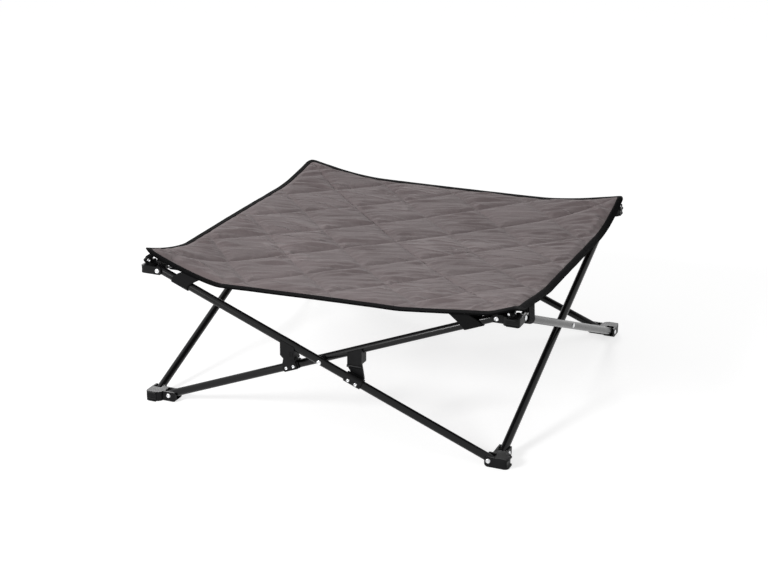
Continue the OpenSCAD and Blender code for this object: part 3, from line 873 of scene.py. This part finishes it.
# Stitches along the tape: pitch, length, distance from its inner edge, half width, half
# height, and how deep they sit, as a share of half the tape
THREAD_PITCH = 6 * MM
THREAD_LENGTH = 4 * MM
THREAD_INSET = 2.4 * MM
THREAD_WIDE = 0.45 * MM
THREAD_HIGH = 0.55 * MM
THREAD_LEVEL = 0.93
# Reinforcement under each corner: size, thickness, depth under the sheet's middle, and
# its distance from the corner and from the rim
PATCH_SIDE = 46 * MM
PATCH_T = 1.6 * MM
PATCH_UNDER = 1.4 * MM
PATCH_START = 0.5 * MM
PATCH_INSET = 0.6 * MM
PATCH_ROWS = 16
PATCH_COLUMNS = 10


def band_section():
    """Outline of the folded tape: distance in from its outer fold, and height."""
    t = BAND_T / 2
    turns = np.linspace(0, math.pi, BAND_TURNS)
    outer = [(t * (1 - math.sin(a)), t * math.cos(a)) for a in turns]
    flat = np.linspace(*BAND_FLAT, BAND_FLAT_STEPS)
    top = [(a, t * (1 - BAND_TAPER * (a / BAND_W) ** 2)) for a in flat]
    under = [(a, -b) for a, b in top[::-1]]
    inner = t - BAND_BEVEL
    return [(BAND_W, inner), *top, *outer, *under, (BAND_W, -inner)]


def patch_points(corner, half, drop):
    """Half of a corner's reinforcement, up to its diagonal, from the rim's tip inwards."""
    rows = []
    for from_corner in np.linspace(PATCH_START, PATCH_SIDE, PATCH_ROWS):
        x, y = rim_plan(corner, from_corner / SHEET_HALF - 1, PATCH_INSET)
        across = (half + np.linspace(0, 1, PATCH_COLUMNS)) / 2
        rows.append(on_sheet(corner, x + (y - x) * across, y + (x - y) * across, -drop))
    return np.array(rows)


def add_band_stitches(side, points, faces):
    """The row of stitches near the tape's inner edge, above and below."""
    along = np.linspace(-1, 1, RIM_SAMPLES)
    line = on_sheet(side, *rim_plan(side, along, BAND_W - BAND_OUT - THREAD_INSET))
    steps = np.linalg.norm(np.diff(line, axis=0), axis=1)
    length = np.concatenate([[0], np.cumsum(steps)])
    spots = np.arange(THREAD_PITCH / 2, length[-1] - THREAD_PITCH, THREAD_PITCH)
    starts, ends = (
        np.stack([np.interp(spots + ahead, length, line[:, k]) for k in range(3)], -1)
        for ahead in (0, THREAD_LENGTH)
    )
    outward = rim_outward(side, np.interp(spots, length, along))
    outward = turned_all(side, np.append(outward, np.zeros((len(spots), 1)), 1))
    up = np.array([0, 0, THREAD_HIGH])
    for level in (THREAD_LEVEL, -THREAD_LEVEL):
        lift = np.array([0, 0, level * BAND_T / 2])
        for start, end, out in zip(starts, ends, outward):
            add_stitch(points, faces, start + lift, end + lift, out * THREAD_WIDE, up)


def make_binding(side):
    """The tape along one side from diagonal to diagonal, with the corners' reinforcement."""
    along = np.sin(np.linspace(-math.pi / 2, math.pi / 2, BAND_STEPS + 1))
    rim = np.stack(rim_plan(side, along), -1)
    wave = BAND_WAVE * smooth_noise(BAND_SEED + side, rim, BAND_WAVE_SIZE)
    net = np.array([
        on_sheet(side, *rim_plan(side, along, inward - BAND_OUT + wave), height)
        for inward, height in band_section()
    ])
    count, steps = net.shape[:2]
    faces = grid_faces(count, steps, wrap_rows=True)
    faces.append([r * steps for r in range(count)])
    faces.append([r * steps + steps - 1 for r in reversed(range(count))])
    points = list(net.reshape(-1, 3))
    for half, corner in enumerate((side, (side + 1) % 4)):
        under = patch_points(corner, half, PATCH_UNDER + PATCH_T)
        add_slab(points, faces, patch_points(corner, half, PATCH_UNDER), under)
    cloth_faces = len(faces)
    add_band_stitches(side, points, faces)
    piece = new_mesh("edge_binding_" + SIDES[side], points, faces, TAPE_SHARP)
    dress(piece, TAPE, THREAD, cloth_faces)
    return piece


# ---- loops ----

# Distance of each loop from the upper pivot along the tube, its width, and how far its
# strap leans towards the middle of the side
LOOP_AT = 52 * MM
LOOP_W = 38 * MM
LOOP_LEAN = 24 * MM
LOOP_STEPS = 13
WEB_T = 2.0 * MM
WRAP_GAP = 0.25 * MM
WRAP_STEPS = 34
# Ends of the strap: how far inside the rim, and how far up into the tape
STRAP_INSET = 3 * MM
STRAP_TUCK = 0.5 * MM
STRAP_STEPS = 7
# How early the strap leaves its lean behind on its way to the tube
STRAP_EASE = 1.3
# Keeps the strap's upper end outside the loop, whatever the sizes
NEAREST_TIP = 0.999


def make_loop(side, outer):
    """A webbing loop round a tube's upper end, with its strap up to the binding."""
    hand = -1 if outer else 1
    tube_dir = np.array([math.cos(LEAN), 0, math.sin(LEAN) * hand]) * hand
    top_pivot = np.array([hand * PIVOT_X, -HALF + hand * PLANE, TOP_Z])
    across = np.array([0, 1.0, 0])
    up = np.array([-math.sin(LEAN) * hand, 0, math.cos(LEAN)])
    r = TUBE_R + WRAP_GAP + WEB_T / 2
    rows = []
    for a in np.linspace(-0.5, 0.5, LOOP_STEPS):
        centre = top_pivot - tube_dir * (LOOP_AT + a * LOOP_W)
        x = centre[0] - hand * LOOP_LEAN
        rx, ry = rim_plan(side, x / SHEET_HALF, STRAP_INSET)
        rz = on_sheet(side, rx, ry, STRAP_TUCK - BAND_T / 2)[2]
        d = np.array([x, float(ry), rz]) - centre
        q, p, s = d @ across, d @ up, d @ tube_dir
        half_open = math.acos(min(NEAREST_TIP, r / math.hypot(q, p)))
        start = math.atan2(p, q) + half_open
        angles = np.linspace(start, start - 2 * half_open + 2 * math.pi, WRAP_STEPS)
        wrap = centre + r * (np.outer(np.cos(angles), across) + np.outer(np.sin(angles), up))
        t = np.linspace(0, 1, STRAP_STEPS)[:-1, None]
        from_tip = (1 - t) * (centre + across * q + up * p)
        lean = tube_dir * s * (1 - t) ** STRAP_EASE
        there, back = (from_tip + t * touch + lean for touch in (wrap[0], wrap[-1]))
        rows.append(np.concatenate([there, wrap, back[::-1]]))
    net = turned_all(side, rows)
    name = SIDES[side] + ("_outer" if outer else "_inner")
    faces = grid_faces(net.shape[0], net.shape[1], flip=outer)
    piece = new_mesh("web_loop_" + name, net.reshape(-1, 3), faces)
    thick = piece.modifiers.new("tape", "SOLIDIFY")
    thick.thickness = WEB_T
    thick.offset = 0
    piece.data.materials.append(WEBBING)
    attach(piece, name)
    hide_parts(name + "_loop")
    return piece


# ---- corner tabs ----

# Distance of each tab from the middle of the hub's lug, distance of the lug's eye out
# from the hub's centre, and radius of the webbing and of the rivet's head at the eye
LUG_HALF = 2.65 * MM
EYE_OUT = 8 * MM
TAB_R = 6.7 * MM
EYE_HEAD_R = 3.42 * MM
# Steps of each tab's way up beside the lug and away from it under the patch, in
# millimetres, its height before the patch cuts it, and its lean inwards
TAB_RISES = (1.5, 3, 4.5, 6)
TAB_SPREAD = (0.6, 1.8, 3.5, 5.5, 8)
TAB_TOP = 30 * MM
TAB_LEAN = 0.6
# Angle from straight down at which a tab's round end starts, and its points across and
# round that end
TAB_START = 0.12
TAB_COLUMNS = 9
TAB_TURNS = 9
DIAGONAL = math.radians(45)


def tab_strip(face):
    """Net of a webbing tab on the diagonal of the front left corner: round under the eye,
    up beside the lug, and out under the patch."""
    eye_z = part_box("hub_rivets_front_left")[1].z - EYE_HEAD_R
    turns = np.linspace(TAB_START, math.pi / 2, TAB_TURNS)
    path = [(LUG_HALF, eye_z - TAB_R * math.cos(a)) for a in turns]
    path += [(LUG_HALF, eye_z + rise * MM) for rise in TAB_RISES]
    path += [(LUG_HALF + out * MM, eye_z + TAB_TOP) for out in TAB_SPREAD]
    rows = []
    for out, z in path:
        half = TAB_R * math.sqrt(max(0, 1 - max(0, (eye_z - z) / TAB_R) ** 2))
        inwards = TAB_LEAN * max(0, z - eye_z)
        along = inwards - (EYE_OUT + half * np.linspace(-1, 1, TAB_COLUMNS))
        across = face * (out + WEB_T / 2)
        x = along * math.cos(DIAGONAL) - across * math.sin(DIAGONAL) - HALF
        y = along * math.sin(DIAGONAL) + across * math.cos(DIAGONAL) - HALF
        rows.append(np.stack([x, y, np.full(TAB_COLUMNS, z)], -1))
    return np.array(rows)


def add_tab(corner, face, points, faces):
    """One tab as a closed strip of webbing that ends under the patch."""
    net = turned_all(corner, tab_strip(face))
    roof = sheet_level(net[..., 0], net[..., 1]) - PATCH_UNDER - PATCH_T - WEB_T / 2
    net[..., 2] = np.minimum(net[..., 2], roof)
    normal = normals_of(net) * WEB_T / 2
    sides = (net + normal, net - normal)
    add_slab(points, faces, *(sides if face < 0 else sides[::-1]))


def make_pocket(corner):
    """The webbing tabs of a corner of the sheet, held by the rivet of the hub's lug."""
    points, faces = [], []
    for face in (-1, 1):
        add_tab(corner, face, points, faces)
    piece = new_mesh("sheet_corner_" + CORNERS[corner], points, faces, TAPE_SHARP)
    piece.data.materials.append(WEBBING)
    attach(piece, "top_" + CORNERS[corner])
    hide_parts("corner_pocket_" + CORNERS[corner])
    return piece


# ---- stage ----

CAMERA_AT = (1137.4 * MM, -2785.4 * MM, 1236.2 * MM + FOOT_Z)
CAMERA_YAW = 0.3967
CAMERA_PITCH = 0.3433
CAMERA_ROLL = 0.0077
CAMERA_LENS = 70.56
CAMERA_SENSOR = 36
CAMERA_REACH = 50
# Square lamp in front, and an even light from behind on the left
KEY_AT = (-1.2, -2.3, 1.45)
KEY_POWER = 50
KEY_SIZE = 0.6
FILL_FROM = (-0.45, 1.0, 0.5)
FILL_STRENGTH = 1.3
FILL_SPREAD = math.radians(20)
# Surroundings: their light on the bed. Rays that are seen find plain white instead
WORLD_LIGHT = 0.4
WHITE = (1, 1, 1, 1)
# Floor: half its size, its tone, and the glow that makes it white where it is seen
FLOOR_REACH = 14
FLOOR_TONE = (0.48, 0.48, 0.48, 1)
FLOOR_LIFT = 0.72


def make_camera():
    """A camera at the photograph's viewing angle."""
    data = bpy.data.cameras.new("view")
    data.lens = CAMERA_LENS
    data.sensor_width = CAMERA_SENSOR
    data.clip_end = CAMERA_REACH
    camera = bpy.data.objects.new("view", data)
    bpy.context.scene.collection.objects.link(camera)
    forward = Vector((
        -math.sin(CAMERA_YAW) * math.cos(CAMERA_PITCH),
        math.cos(CAMERA_YAW) * math.cos(CAMERA_PITCH),
        -math.sin(CAMERA_PITCH),
    ))
    right = Vector((math.cos(CAMERA_YAW), math.sin(CAMERA_YAW), 0))
    up = right.cross(forward)
    right_rolled = right * math.cos(CAMERA_ROLL) + up * math.sin(CAMERA_ROLL)
    up_rolled = up * math.cos(CAMERA_ROLL) - right * math.sin(CAMERA_ROLL)
    axes = Matrix((right_rolled, up_rolled, -forward)).transposed()
    camera.matrix_world = Matrix.Translation(CAMERA_AT) @ axes.to_4x4()
    bpy.context.scene.camera = camera


def seen_rays(tree):
    """1 where a ray comes from the camera, a mirror-like bounce or through glass."""
    path = tree.nodes.new("ShaderNodeLightPath")
    total = path.outputs["Is Camera Ray"]
    for name in ("Is Glossy Ray", "Is Transmission Ray"):
        most = tree.nodes.new("ShaderNodeMath")
        most.operation = "MAXIMUM"
        tree.links.new(total, most.inputs[0])
        tree.links.new(path.outputs[name], most.inputs[1])
        total = most.outputs[0]
    return total


def add_lamp(name, kind, place, **settings):
    """A lamp aimed at the bed."""
    data = bpy.data.lights.new(name, kind)
    for key, value in settings.items():
        setattr(data, key, value)
    lamp = bpy.data.objects.new(name, data)
    lamp.location = place
    lamp.rotation_euler = (-Vector(place)).to_track_quat("-Z", "Y").to_euler()
    bpy.context.scene.collection.objects.link(lamp)


def make_floor():
    """A pale floor that looks white apart from the bed's shadow."""
    r = FLOOR_REACH
    points = [(-r, -r, 0), (r, -r, 0), (r, r, 0), (-r, r, 0)]
    floor = new_mesh("floor", points, [(0, 1, 2, 3)], smooth=False)
    look = Nodes("floor_white")
    look.set(Base_Color=FLOOR_TONE, Roughness=0.95, Specular_IOR_Level=0.0)
    look.set(Emission_Color=WHITE)
    look.feed("Emission Strength", look.math("MULTIPLY", seen_rays(look.tree), FLOOR_LIFT))
    floor.data.materials.append(look.material)


def make_surroundings():
    """White surroundings that light the bed more softly than they look."""
    world = bpy.data.worlds.new("studio")
    bpy.context.scene.world = world
    world.use_nodes = True
    tree = world.node_tree
    lit = tree.nodes["Background"]
    seen = tree.nodes.new("ShaderNodeBackground")
    for background, strength in ((lit, WORLD_LIGHT), (seen, 1.0)):
        background.inputs["Color"].default_value = WHITE
        background.inputs["Strength"].default_value = strength
    mix = tree.nodes.new("ShaderNodeMixShader")
    tree.links.new(seen_rays(tree), mix.inputs["Fac"])
    tree.links.new(lit.outputs[0], mix.inputs[1])
    tree.links.new(seen.outputs[0], mix.inputs[2])
    tree.links.new(mix.outputs[0], tree.nodes["World Output"].inputs["Surface"])


# ---- putting it together ----

make_camera()
finish_cad_nodes()
sheet_top, sheet_under = sheet_surface()
for k in range(4):
    gore = make_gore(k, sheet_top, sheet_under)
    fold_with_gore(gore, k)
    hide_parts("sheet_" + SIDES[k])
    tape = make_binding(k)
    fold_with_gore(tape, k)
    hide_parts("binding_" + SIDES[k])
    make_loop(k, True)
    make_loop(k, False)
    make_pocket(k)
make_floor()
make_surroundings()
add_lamp("key", "AREA", KEY_AT, energy=KEY_POWER, size=KEY_SIZE)
add_lamp("fill", "SUN", FILL_FROM, energy=FILL_STRENGTH, angle=FILL_SPREAD)
bpy.context.scene.view_settings.view_transform = "Standard"
